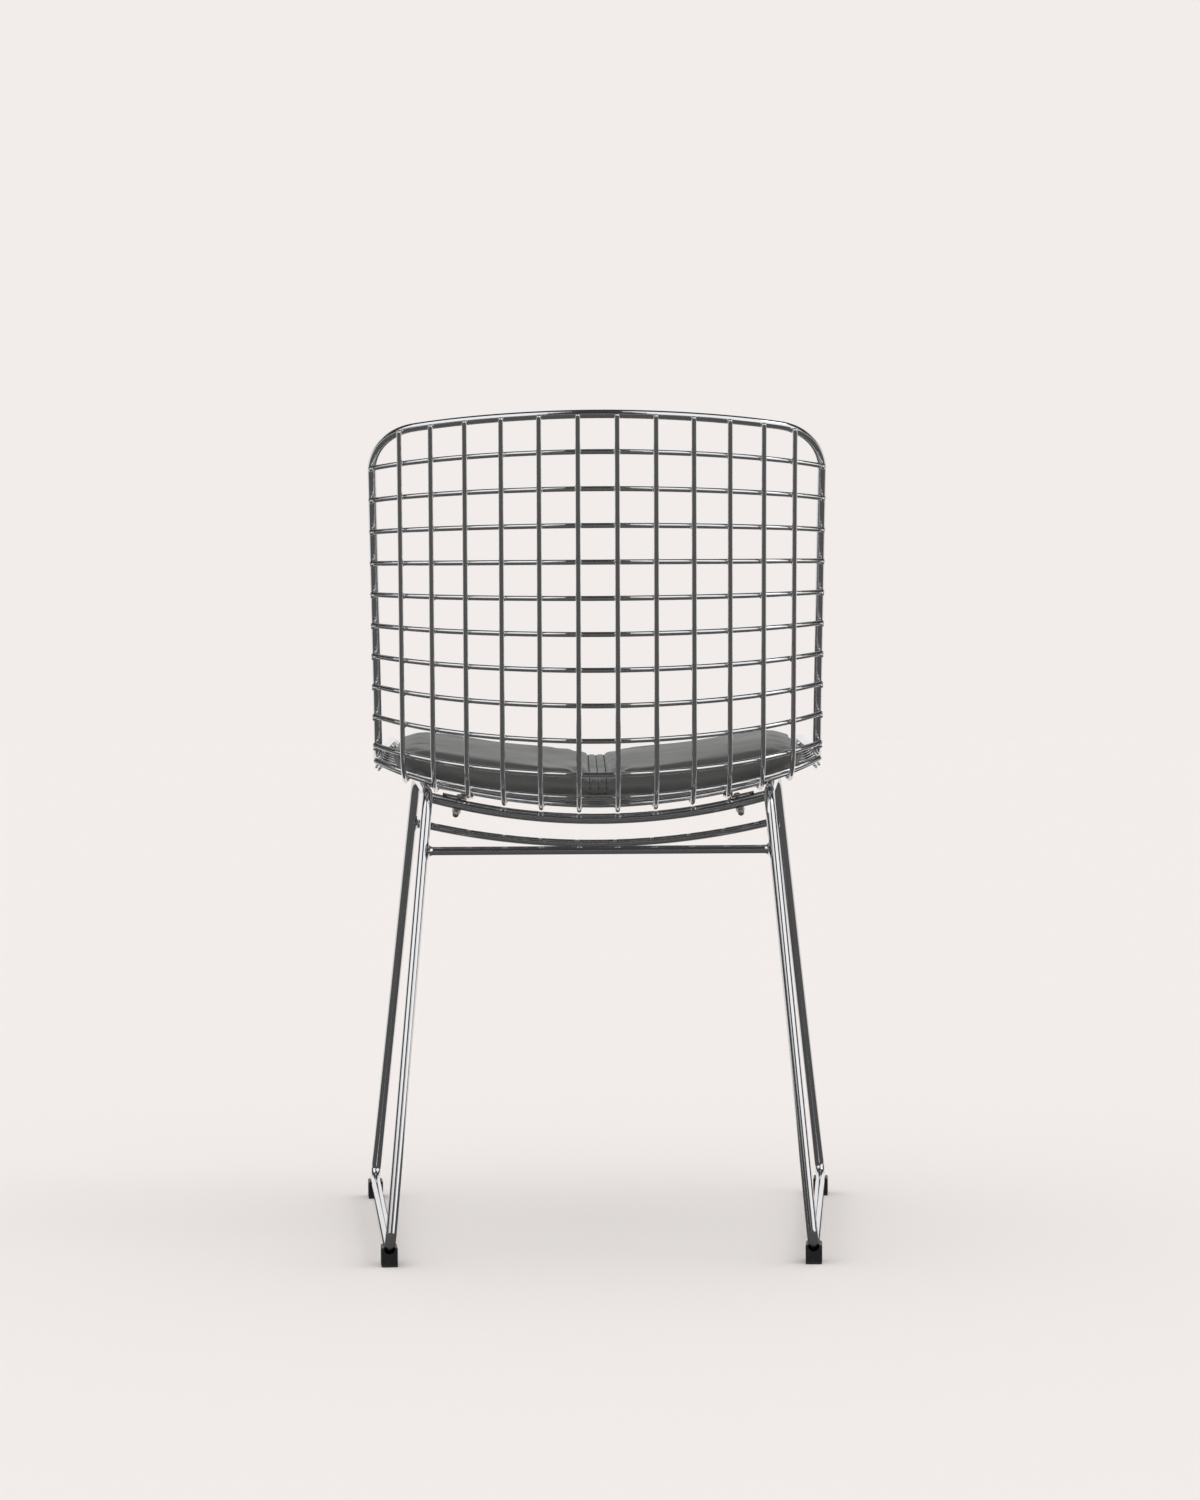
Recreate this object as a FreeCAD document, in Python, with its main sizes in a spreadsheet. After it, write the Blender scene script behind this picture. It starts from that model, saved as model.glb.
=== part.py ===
"""A wire mesh side chair with a loose seat pad.

The shell is one sheet of welded steel wire: long wires run down the back, round the heel of the
seat and forward to its front edge, and cross wires lie on their inner side. A thicker rim rod
runs round the sheet's edge. The shell sits on two dipped rods of a bent rod base, held by four
clips, and a padded cover lies in the seat.

X points to the sitter's left, the chair faces -Y, Z points up and the glides stand on Z = 0.
Shapes are worked out with a forward distance, measured from the rear legs' lower corners
towards the chair's front, and turned into Y at the end.
"""
import FreeCAD, Part
import math
import os
from FreeCAD import Placement, Rotation, Vector

doc = FreeCAD.newDocument("WireMeshChair")

# Driving dimensions, in millimetres, degrees and counts
SIZES = [
    ("wire_diameter", 4.8, "mesh wire"),
    ("rim_diameter", 8, "rod round the shell's edge"),
    ("leg_diameter", 10, "side frames and seat rods"),
    ("stretcher_diameter", 8, "rods that brace the legs"),
    ("long_wires", 12, "wires from the back's top to the seat's front"),
    ("cross_wires", 22, "wires from side to side"),
    ("back_gaps", 10, "gaps between cross wires that belong to the back"),
    ("wire_pitch", 35.2, "spacing of the long wires along the curve of the shell"),
    ("edge_gaps", 6.8, "wire pitches from the middle to the side edge"),
    ("wrap", 0.1162, "share of the half width lost to the shell's curve"),
    ("top_taper", 0.025, "how much narrower the shell is at its top"),
    ("dish_power", 1.85, "how the dish grows from the middle to the edge"),
    ("heel_forward_mid", 49.3, "where back and seat lines meet, in the middle"),
    ("heel_height_mid", 416.9, "height of that corner"),
    ("heel_forward_edge", 136.5, "the same corner at the side edge"),
    ("heel_height_edge", 460, "height of the corner at the side edge"),
    ("top_height_mid", 777.7, "top of the mesh in the middle"),
    ("top_height_edge", 762.5, "top of the mesh at the side edge"),
    ("lean_mid", 17.1, "backward lean of the back in the middle"),
    ("lean_edge", 24.9, "lean of the side edge"),
    ("heel_radius_mid", 65, "bend between back and seat, in the middle"),
    ("heel_radius_edge", 45, "the same bend at the side edge"),
    ("seat_slope_mid", 3.2, "rise of the seat towards the front"),
    ("seat_slope_edge", 2.5, "rise of the side edge"),
    ("seat_front", 470, "forward distance of the seat's front edge"),
    ("curl_radius", 150, "roll of the seat's front"),
    ("curl_angle", 18, "angle of that roll"),
    ("back_pitch_mid", 34.3, "spacing of the back's cross wires in the middle"),
    ("back_pitch_edge", 31.2, "spacing of them at the side edge"),
    ("corner_across", 60, "rim corner, measured across"),
    ("corner_down", 36, "rim corner at the back's top, measured down"),
    ("corner_back", 45, "rim corner at the seat's front, measured back"),
    ("frame_front_foot_x", 236, "lower front corner of a side frame"),
    ("frame_front_foot_forward", 475, "its forward distance"),
    ("frame_rear_foot_x", 195, "lower rear corner of a side frame"),
    ("frame_rear_foot_forward", 3, "its forward distance"),
    ("frame_rear_top_x", 160.2, "upper rear corner of a side frame"),
    ("frame_rear_top_forward", 73.7, "its forward distance"),
    ("frame_rear_top_height", 434.5, "its height"),
    ("frame_front_top_forward", 350, "upper front corner of a side frame"),
    ("frame_front_top_height", 445.5, "its height"),
    ("runner_height", 17, "axis of the runner over the floor"),
    ("foot_bend", 13, "bend radius at the runner's ends"),
    ("top_bend", 25, "bend radius under the seat"),
    ("rear_rod_forward", 103, "rear seat rod"),
    ("front_rod_forward", 325, "front seat rod"),
    ("rear_rod_end_height", 431.1, "height of the rear seat rod's ends"),
    ("front_rod_end_height", 442, "height of the front seat rod's ends"),
    ("seat_rod_gap", 1.2, "room between the seat rods and the middle long wires"),
    ("rear_stretcher_height", 381, "straight rod between the rear legs"),
    ("front_stretcher_height", 398, "ends of the bowed rod between the front legs"),
    ("front_stretcher_dip", 23.3, "how far it bows down"),
    ("clip_wire", 3, "number of the long wire that a clip holds, counted from the side"),
    ("clip_width", 11, "clip, along the wire"),
    ("clip_thickness", 1.8, "clip sheet"),
    ("clip_foot", 16, "clip foot beyond the bolt"),
    ("clip_wire_offset", 10.1, "from the bolt's axis to the wire's axis"),
    ("clip_slack", 0.35, "room between the clip's hook and the wire"),
    ("weld_gap", 0.02, "from the middle surface to the face of a wire that lies on it"),
    ("bolt_diameter", 4, "clip bolt"),
    ("bolt_hole", 4.3, "hole in the clip and in the rod"),
    ("bolt_head_diameter", 6.8, "round head"),
    ("bolt_head_height", 2.6, "round head"),
    ("nut_across", 7, "cap nut, across flats"),
    ("nut_hex_height", 3.2, "cap nut's six-sided part"),
    ("nut_dome_radius", 3.2, "cap nut's dome"),
    ("nut_height", 8, "cap nut"),
    ("nut_bore_depth", 5.6, "threaded part of the cap nut"),
    ("thread_slack", 0.03, "room between bolt and cap nut"),
    ("glide_width", 15, "floor glide"),
    ("glide_length", 28, "floor glide"),
    ("glide_height", 18, "floor glide"),
    ("glide_inset", 4.5, "glide's end from the frame's corner"),
    ("glide_slack", 0.1, "room between runner and glide"),
    ("glide_edge", 1.5, "rounding of the glide's edges"),
    ("pad_rear", 108, "forward distance of the pad's rear edge"),
    ("pad_front", 458, "forward distance of the pad's front edge"),
    ("pad_half_width", 205, "half the pad's width"),
    ("pad_rear_corner", 0.3, "share of the half width lost at the rounded rear corners"),
    ("pad_front_corner", 0.16, "share of it lost at the front corners"),
    ("pad_end_thickness", 0.42, "thickness at the pad's front and rear faces, as a share"),
    ("pad_thickness", 25, "pad in the middle of each half"),
    ("pad_seam_depth", 5, "sewn band along the pad's middle"),
    ("pad_band_half_width", 8, "half the width of that band"),
    ("pad_clearance", 0.8, "room between pad and wires"),
    ("cover_thickness", 1.2, "leatherette skin"),
    ("foam_clearance", 0.8, "room between skin and foam"),
    ("mid_depth", 205.2, "forward distance of the chair's middle, where Y is 0"),
]

sheet = doc.addObject("Spreadsheet::Sheet", "Sizes")
for line, (alias, value, note) in enumerate(SIZES, start=1):
    sheet.set("A%d" % line, note)
    sheet.set("B%d" % line, str(value))
    sheet.setAlias("B%d" % line, alias)
doc.recompute()


def size(alias):
    """The number in the sheet's cell of this name."""
    return float(sheet.get(alias))


WIRE = size("wire_diameter")
RIM_RADIUS = size("rim_diameter") / 2
LEG_RADIUS = size("leg_diameter") / 2
LONG_WIRES = int(size("long_wires"))
CROSS_WIRES = int(size("cross_wires"))
WIRE_OFFSET = WIRE / 2 + size("weld_gap")
BACK_GAPS = int(size("back_gaps"))
ALL_GAPS = CROSS_WIRES + 1
HALF_ARC = size("wire_pitch") * size("edge_gaps")


def place(x, forward, height):
    """A point of the chair's frame from its sideways, forward and upward distances."""
    return Vector(x, size("mid_depth") - forward, height)


# The shell's middle surface. It lies between the long wires and the cross wires. Its lengthways
# lines are each a straight back, a heel bend, a straight seat and a gentle front roll; from the
# middle to the side edge their sizes change smoothly. u runs from -1 to 1 across the shell and
# s is the length along the line from the back's top.

def blend(name, u):
    """The value between NAME_mid and NAME_edge at u."""
    middle = size(name + "_mid")
    return middle + (size(name + "_edge") - middle) * abs(u) ** size("dish_power")


class Line:
    """One lengthways line of the shell, as four runs in forward distance and height."""

    def __init__(self, u):
        lean = math.radians(blend("lean", u))
        slope = math.radians(blend("seat_slope", u))
        self.bend_radius = blend("heel_radius", u)
        heel_forward = blend("heel_forward", u)
        heel_height = blend("heel_height", u)
        turn = math.pi / 2 - lean + slope
        tangent = self.bend_radius * math.tan(turn / 2)
        curl = math.radians(size("curl_angle"))
        self.curl_radius = size("curl_radius")
        self.back_angle = lean - math.pi / 2
        self.seat_angle = slope
        self.back = (blend("top_height", u) - heel_height) / math.cos(lean) - tangent
        self.bend = self.bend_radius * turn
        seat_reach = (size("seat_front") - heel_forward) / math.cos(slope)
        self.seat = seat_reach - tangent - self.curl_radius * math.sin(curl)
        self.curl = self.curl_radius * curl
        self.length = self.back + self.bend + self.seat + self.curl
        run = self.back + tangent
        self.start = (
            heel_forward - run * math.cos(self.back_angle),
            heel_height - run * math.sin(self.back_angle),
        )

    def at(self, s):
        """Forward distance and height at the length s."""
        forward, height = self.start
        straight = min(s, self.back)
        forward += straight * math.cos(self.back_angle)
        height += straight * math.sin(self.back_angle)
        if s <= self.back:
            return forward, height
        turned = self.back_angle + min(s - self.back, self.bend) / self.bend_radius
        forward += self.bend_radius * (math.sin(turned) - math.sin(self.back_angle))
        height -= self.bend_radius * (math.cos(turned) - math.cos(self.back_angle))
        if s <= self.back + self.bend:
            return forward, height
        straight = min(s - self.back - self.bend, self.seat)
        forward += straight * math.cos(self.seat_angle)
        height += straight * math.sin(self.seat_angle)
        if s <= self.length - self.curl:
            return forward, height
        rolled = self.seat_angle - (s - self.length + self.curl) / self.curl_radius
        forward -= self.curl_radius * (math.sin(rolled) - math.sin(self.seat_angle))
        height += self.curl_radius * (math.cos(rolled) - math.cos(self.seat_angle))
        return forward, height


def half_width(u, height):
    """Sideways distance of the line u at a height."""
    full = HALF_ARC * u * (1 - size("wrap") * u * u)
    seat = size("heel_height_edge")
    rise = (height - seat) / (size("top_height_mid") - seat)
    return full * (1 + size("top_taper") * (1 - max(0.0, min(1.0, rise))))


def surface(u, s):
    """A point of the shell's middle surface."""
    forward, height = Line(u).at(s)
    return place(half_width(u, height), forward, height)


def inward(u, s):
    """The surface's normal, towards the sitter."""
    across = surface(u + 1e-3, s) - surface(u - 1e-3, s)
    along = surface(u, s + 0.5) - surface(u, s - 0.5)
    normal = across.cross(along)
    normal.normalize()
    if normal.z - normal.y < 0:
        normal = normal * -1
    return normal


def raised(u, s, offset):
    """A point at a distance from the middle surface, towards the sitter."""
    return surface(u, s) + inward(u, s) * offset


# Smooth bent rods. A path goes through chosen points of a curve, with its directions there, as
# pairs of tangent arcs.

def arc_from(start, direction, end):
    """The arc, or the straight edge, that leaves start in a direction and reaches end."""
    chord = end - start
    along = Vector(chord)
    along.normalize()
    side = direction - along * direction.dot(along)
    if side.Length < 1e-5:
        return Part.makeLine(start, end)
    angle = math.atan2(side.Length, direction.dot(along))
    side.normalize()
    middle = start + chord * 0.5 + side * (chord.Length / 2 * math.tan(angle / 2))
    return Part.Arc(start, middle, end).toShape()


def arc_pair(start, start_direction, end, end_direction):
    """Two arcs that meet smoothly between two points with given directions."""
    chord = end - start
    both = start_direction + end_direction
    spread = 2 * (1 - start_direction.dot(end_direction))
    if spread < 1e-9:
        reach = chord.dot(chord) / (2 * chord.dot(both))
    else:
        middle = chord.dot(both)
        reach = (math.sqrt(middle * middle + spread * chord.dot(chord)) - middle) / spread
    joint = (start + end + (start_direction - end_direction) * reach) * 0.5
    first = arc_from(start, start_direction, joint)
    last = arc_from(end, end_direction * -1, joint)
    return [first, last]


def smooth_edges(curve, stops):
    """Edges of tangent arcs through curve(stop) for each stop."""
    points = [curve(stop) for stop in stops]
    directions = []
    for stop in stops:
        ahead = min(stop + 1e-3, stops[-1])
        behind = max(stop - 1e-3, stops[0])
        direction = curve(ahead) - curve(behind)
        direction.normalize()
        directions.append(direction)
    edges = []
    for index in range(len(stops) - 1):
        edges += arc_pair(points[index], directions[index], points[index + 1], directions[index + 1])
    return edges


def rounded_loop(corners, radii):
    """Edges of a closed bent loop, starting in the middle of its first side."""
    count = len(corners)
    bends = []
    for index in range(count):
        corner = corners[index]
        before = corners[index - 1] - corner
        after = corners[(index + 1) % count] - corner
        before.normalize()
        after.normalize()
        half = before.getAngle(after) / 2
        cut = radii[index] / math.tan(half)
        middle = (before + after).normalize()
        depth = radii[index] / math.sin(half) - radii[index]
        bends.append((corner + before * cut, corner + middle * depth, corner + after * cut))
    seam = (bends[0][2] + bends[1][0]) * 0.5
    edges = [Part.makeLine(seam, bends[1][0])]
    for index in range(1, count + 1):
        entry, middle, leave = bends[index % count]
        edges.append(Part.Arc(entry, middle, leave).toShape())
        target = bends[(index + 1) % count][0] if index < count else seam
        edges.append(Part.makeLine(leave, target))
    return edges


def bent_rod(name, edges, diameter):
    """A round rod swept along a path. diameter is the sheet's name of its thickness."""
    wire = Part.Wire(edges)
    path = doc.addObject("Part::Feature", name + "_path")
    path.Shape = wire
    first = wire.OrderedEdges[0]
    start = wire.OrderedVertexes[0].Point
    low, high = first.ParameterRange
    at_low = first.valueAt(low).distanceToPoint(start) < first.valueAt(high).distanceToPoint(start)
    direction = first.tangentAt(low if at_low else high)
    ring = doc.addObject("Part::Circle", name + "_ring")
    ring.setExpression("Radius", "Sizes.%s / 2" % diameter)
    ring.Placement = Placement(start, Rotation(Vector(0, 0, 1), direction))
    rod = doc.addObject("Part::Sweep", name)
    rod.Sections = [ring]
    rod.Spine = (path, ["Edge%d" % (index + 1) for index in range(len(wire.Edges))])
    rod.Solid = True
    rod.Frenet = False
    return rod


parts = []


def keep(piece, label):
    """Names a finished sub-part and puts it on the list."""
    piece.Label = label
    parts.append(piece)
    return piece


# The rim and its rounded corners

def rim_station(walk):
    """u, s and offset of the rim's axis. walk is 0 at a side's middle and 3 at the back's top
    middle on the left half, and runs on to 6 on the right; below 0 it runs round the seat."""
    edge = Line(1.0)
    across = size("corner_across") / HALF_ARC
    side_start = edge.back + edge.bend + edge.seat / 4
    step = min(walk, 6 - walk) if walk >= 0 else max(walk, -6 - walk)
    level = abs(step)
    quarter = math.radians(90) * (2 - level)
    turn = min(1.0, max(0.0, level - 1))
    if step >= 0:
        corner = size("corner_down")
        near = side_start + (corner - side_start) * min(level, 1.0)
    else:
        corner = size("corner_back")
        near = side_start + (edge.length - corner - side_start) * min(level, 1.0)
    if level <= 1:
        u, s = 1.0, near
    elif level <= 2:
        u = 1 - across * (1 - math.sin(quarter))
        drop = corner * (1 - math.cos(quarter))
        s = drop if step >= 0 else Line(u).length - drop
    else:
        u = (1 - across) * (3 - level)
        s = 0.0 if step >= 0 else Line(u).length
    offset = RIM_RADIUS + size("weld_gap") + 2 * WIRE_OFFSET * math.cos(math.radians(90) * turn) ** 2
    if abs(walk) > 3:
        u = -u
    return u, s, offset


def rim_point(walk):
    """A point of the rim's axis."""
    return raised(*rim_station(walk))


def side_stops():
    """Values of walk at which the side run of the back rim bends."""
    edge = Line(1.0)
    side_start = edge.back + edge.bend + edge.seat / 4
    reach = side_start - size("corner_down")
    bends = [edge.back + edge.bend * part for part in (1.0, 0.75, 0.5, 0.25, 0.0)]
    stops = [(side_start - s) / reach for s in bends]
    return [0.0] + stops + [0.65, 1.0]


half_stops = side_stops() + [1.2, 1.4, 1.6, 1.8, 2.0, 2.25, 2.5, 2.75, 3.0]
back_stops = half_stops + [6 - stop for stop in reversed(half_stops[:-1])]
keep(bent_rod("back_rim", smooth_edges(rim_point, back_stops), "rim_diameter"), "back_rim_rod")

half_stops = [0.0, 0.5, 0.75, 1.0, 1.25, 1.5, 1.75, 2.0, 2.25, 2.5, 2.75, 3.0]
seat_stops = [-6 + stop for stop in half_stops] + [-stop for stop in reversed(half_stops[:-1])]
keep(bent_rod("seat_rim", smooth_edges(rim_point, seat_stops), "rim_diameter"), "seat_rim_rod")


def rim_reach(u, corner):
    """How far the rim's corner comes in at u, measured along s."""
    inset = (1 - abs(u)) * HALF_ARC / size("corner_across")
    if inset >= 1:
        return 0.0
    return corner * (1 - math.sqrt(1 - (1 - inset) ** 2))


def rim_u(s, line):
    """u of the rim at the length s."""
    depth = min(s / size("corner_down"), (line.length - s) / size("corner_back"), 1.0)
    inset = 1 - math.sqrt(1 - (1 - depth) ** 2)
    return 1 - inset * size("corner_across") / HALF_ARC


# Long wires: their ends lap the outer side of the rim

def long_wire_u(number):
    """u of a long wire, counted from the sitter's right side."""
    return (number - (LONG_WIRES + 1) / 2) / size("edge_gaps")


def long_wire_stops(u):
    """Lengths at which a long wire's bends begin, run and end."""
    line = Line(u)
    heel = [line.back + line.bend * part / 4 for part in range(5)]
    roll = [line.length - line.curl * part / 2 for part in (2, 1)]
    top = rim_reach(u, size("corner_down"))
    front = line.length - rim_reach(u, size("corner_back"))
    return [top, line.back / 2] + heel + [line.back + line.bend + line.seat / 2] + roll + [front]


for number in range(LONG_WIRES // 2 + 1, LONG_WIRES + 1):
    u = long_wire_u(number)
    edges = smooth_edges(lambda s: raised(u, s, -WIRE_OFFSET), long_wire_stops(u))
    wire = keep(bent_rod("long_wire_%d" % number, edges, "wire_diameter"), "long_wire_%02d" % number)
    twin = doc.addObject("Part::Mirroring", "mirrored_wire_%d" % number)
    twin.Source = wire
    twin.Base = Vector(0, 0, 0)
    twin.Normal = Vector(1, 0, 0)
    keep(twin, "long_wire_%02d" % (LONG_WIRES + 1 - number))


# Cross wires: their ends lap the outer side of the rim's side runs

CROSS_END = 0.015
CROSS_SPANS = 8


def cross_wire_s(number, u):
    """Length along the line u at which a cross wire lies."""
    pitch = blend("back_pitch", u)
    if number <= BACK_GAPS:
        return number * pitch
    rest = (Line(u).length - BACK_GAPS * pitch) / (ALL_GAPS - BACK_GAPS)
    return BACK_GAPS * pitch + (number - BACK_GAPS) * rest


for number in range(1, CROSS_WIRES + 1):
    end = rim_u(cross_wire_s(number, 1.0), Line(1.0)) - CROSS_END
    stops = [end * (2 * step / CROSS_SPANS - 1) for step in range(CROSS_SPANS + 1)]
    edges = smooth_edges(lambda u: raised(u, cross_wire_s(number, u), WIRE_OFFSET), stops)
    keep(bent_rod("cross_wire_%d" % number, edges, "wire_diameter"), "cross_wire_%02d" % number)


# Side frames: each is one rod bent to a closed loop of front leg, runner, rear leg and top rail

def frame_corners(side):
    """The loop's four corners in one plane: top rear, top front, front foot, rear foot."""
    runner = size("runner_height")
    front_foot = place(size("frame_front_foot_x"), size("frame_front_foot_forward"), runner)
    rear_foot = place(size("frame_rear_foot_x"), size("frame_rear_foot_forward"), runner)
    rear_top = place(size("frame_rear_top_x"), size("frame_rear_top_forward"), size("frame_rear_top_height"))
    normal = (rear_foot - front_foot).cross(rear_top - front_foot)
    front_top = place(0, size("frame_front_top_forward"), size("frame_front_top_height"))
    front_top.x = (front_foot - front_top).dot(normal) / normal.x
    corners = [rear_top, front_top, front_foot, rear_foot]
    return [Vector(side * corner.x, corner.y, corner.z) for corner in corners]


def frame_point(from_corner, to_corner, **where):
    """The point of a frame side's axis at a given height or forward distance."""
    corners = frame_corners(1)
    start, end = corners[from_corner], corners[to_corner]
    if "height" in where:
        share = (where["height"] - start.z) / (end.z - start.z)
    else:
        share = (size("mid_depth") - where["forward"] - start.y) / (end.y - start.y)
    return start + (end - start) * share


SIDES = (("left", 1), ("right", -1))
bends = [size("top_bend"), size("top_bend"), size("foot_bend"), size("foot_bend")]
frames = []
for side_name, side in SIDES:
    loop = bent_rod("frame_" + side_name, rounded_loop(frame_corners(side), bends), "leg_diameter")
    frames.append(keep(loop, side_name + "_side_frame"))


def coped(name, rod, cutters):
    """A rod whose ends are shaped to the frames, and which other solids may pierce."""
    for index, cutter in enumerate(cutters):
        cut = doc.addObject("Part::Cut", "%s_cut_%d" % (name, index + 1))
        cut.Base = rod
        cut.Tool = cutter
        rod = cut
    return rod


# Seat rods: dipped rods between the side frames that carry the shell

class SeatRod:
    """The arc of a seat rod's axis, in a plane across the chair."""

    def __init__(self, forward, end):
        self.forward = forward
        line = Line(0.0)
        low = line.back
        high = line.length
        for step in range(60):
            middle = (low + high) / 2
            if line.at(middle)[0] < forward:
                low = middle
            else:
                high = middle
        wire_under = line.at(low)[1] - WIRE
        self.low = wire_under - LEG_RADIUS - size("seat_rod_gap")
        self.half_span = end.x
        self.rise = end.z - self.low
        self.radius = (self.half_span ** 2 + self.rise ** 2) / (2 * self.rise)

    def height(self, x):
        """Height of the axis at x."""
        return self.low + self.radius - math.sqrt(self.radius ** 2 - x * x)

    def edges(self):
        """The axis, as one arc."""
        points = [place(x, self.forward, self.height(x)) for x in (-self.half_span, 0, self.half_span)]
        return [Part.Arc(*points).toShape()]

    def tilt(self, x):
        """Slope angle of the rod at x, in degrees."""
        return math.degrees(math.asin(x / self.radius))


seat_rods = {}
for end in ("rear", "front"):
    forward = size(end + "_rod_forward")
    rail_point = frame_point(0, 1, forward=forward)
    rail_point.z = size(end + "_rod_end_height")
    seat_rods[end] = SeatRod(forward, rail_point)

# Clips, bolts and cap nuts. A clip hooks over a long wire and is bolted through the seat rod.

class ClipSpot:
    """Where a clip's bolt meets a seat rod. Its frame has X outward along the rod and Y along the
    held wire; its origin is on the rod's surface, under the clip."""

    def __init__(self, rod, side):
        u = side * long_wire_u(LONG_WIRES + 1 - int(size("clip_wire")))

        def wire(s):
            return raised(u, s, -WIRE_OFFSET)

        line = Line(u)
        s = line.back + line.bend
        for step in range(20):
            s += wire(s).y - place(0, rod.forward, 0).y
        bolt_x = abs(wire(s).x) + size("clip_wire_offset")
        axis = place(side * bolt_x, rod.forward, rod.height(bolt_x))
        level = Rotation(Vector(0, 1, 0), -side * rod.tilt(bolt_x))
        if side < 0:
            level = level.multiply(Rotation(Vector(0, 0, 1), 180))
        for step in range(6):
            run = wire(s + 0.5) - wire(s - 0.5)
            slope = math.degrees(math.atan2(run.z, -run.y))
            turn = level.multiply(Rotation(Vector(1, 0, 0), -side * slope))
            self.place = Placement(axis + turn.multVec(Vector(0, 0, LEG_RADIUS)), turn)
            centre = self.place.inverse().multVec(wire(s))
            s += side * centre.y
        self.lift = size("clip_foot") ** 2 / (2 * rod.radius)
        self.wire_x = centre.x
        self.wire_height = centre.z - self.lift

    def shifted(self, height):
        """The spot's frame moved along its own upward axis."""
        return self.place.multiply(Placement(Vector(0, 0, height), Rotation()))


def origin_plane(body, role):
    """One of a body's own origin planes."""
    return next(feature for feature in body.Origin.OriginFeatures if feature.Role == role)


def sketch_on(body, name, role, geometry, offset=None):
    """A sketch of closed geometry on an origin plane of the body."""
    sketch = body.newObject("Sketcher::SketchObject", name)
    sketch.AttachmentSupport = [(origin_plane(body, role), "")]
    sketch.MapMode = "FlatFace"
    if offset is not None:
        sketch.AttachmentOffset = offset
    sketch.addGeometry(geometry, False)
    return sketch


def clip_outline(spot):
    """The clip seen from the side: a flat foot, then a hook round the wire."""
    sheet_thickness = size("clip_thickness")
    centre = Vector(spot.wire_x, spot.wire_height, 0)
    inner = WIRE / 2 + size("clip_slack")
    outer = inner + sheet_thickness
    foot = size("clip_foot")
    join = math.asin((sheet_thickness - centre.y) / outer)
    crown = (join + math.pi) / 2
    near_out = centre + Vector(outer * math.cos(join), outer * math.sin(join), 0)
    top_out = centre + Vector(outer * math.cos(crown), outer * math.sin(crown), 0)
    far_out = centre - Vector(outer, 0, 0)
    far_in = centre - Vector(inner, 0, 0)
    top_in = centre + Vector(0, inner, 0)
    near_in = centre + Vector(inner, 0, 0)
    floor = Vector(near_in.x, 0, 0)
    return [
        Part.LineSegment(floor, Vector(foot, 0, 0)),
        Part.LineSegment(Vector(foot, 0, 0), Vector(foot, sheet_thickness, 0)),
        Part.LineSegment(Vector(foot, sheet_thickness, 0), near_out),
        Part.Arc(near_out, top_out, far_out),
        Part.LineSegment(far_out, far_in),
        Part.Arc(far_in, top_in, near_in),
        Part.LineSegment(near_in, floor),
    ]


def make_clip(name, spot):
    """A bent sheet clip with its bolt hole."""
    body = doc.addObject("PartDesign::Body", name)
    sketch = sketch_on(body, name + "_outline", "XZ_Plane", clip_outline(spot))
    pad = body.newObject("PartDesign::Pad", name + "_strip")
    pad.Profile = sketch
    pad.Midplane = True
    pad.setExpression("Length", "Sizes.clip_width")
    hole_sketch = sketch_on(body, name + "_hole_sketch", "XY_Plane",
                            [Part.Circle(Vector(0, 0, 0), Vector(0, 0, 1), size("bolt_hole") / 2)])
    hole = body.newObject("PartDesign::Pocket", name + "_hole")
    hole.Profile = hole_sketch
    hole.Midplane = True
    hole.Type = "Length"
    hole.Length = 4 * size("clip_thickness")
    body.Tip = hole
    body.Placement = spot.shifted(spot.lift)
    return body


def cylinder(name, radius, height, placement):
    """A cylinder with sizes given as expressions of the sheet."""
    solid = doc.addObject("Part::Cylinder", name)
    solid.setExpression("Radius", radius)
    solid.setExpression("Height", height)
    solid.Placement = placement
    return solid


def make_bolt(name, spot):
    """A round headed bolt through clip, rod and nut."""
    head_base = size("clip_thickness") + spot.lift
    reach = size("leg_diameter") + size("nut_bore_depth") + head_base
    head_radius = size("bolt_head_diameter") / 2
    head_height = size("bolt_head_height")
    flat = 0.3 * head_radius
    outline = [
        Vector(0, reach + head_height, 0),
        Vector(0, 0, 0),
        Vector(size("bolt_diameter") / 2, 0, 0),
        Vector(size("bolt_diameter") / 2, reach, 0),
        Vector(head_radius, reach, 0),
        Vector(head_radius, reach + 0.25 * head_height, 0),
        Vector(flat, reach + head_height, 0),
    ]
    body = doc.addObject("PartDesign::Body", name)
    shoulder = Vector(0.79 * head_radius, reach + 0.74 * head_height, 0)
    geometry = [Part.LineSegment(outline[i], outline[i + 1]) for i in range(5)]
    geometry.append(Part.Arc(outline[5], shoulder, outline[6]))
    geometry.append(Part.LineSegment(outline[6], outline[0]))
    sketch = sketch_on(body, name + "_profile", "XZ_Plane", geometry)
    turned = body.newObject("PartDesign::Revolution", name + "_turned")
    turned.Profile = sketch
    turned.ReferenceAxis = (sketch, ["V_Axis"])
    turned.Angle = 360
    body.Tip = turned
    body.Placement = spot.shifted(head_base - reach)
    return body


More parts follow.
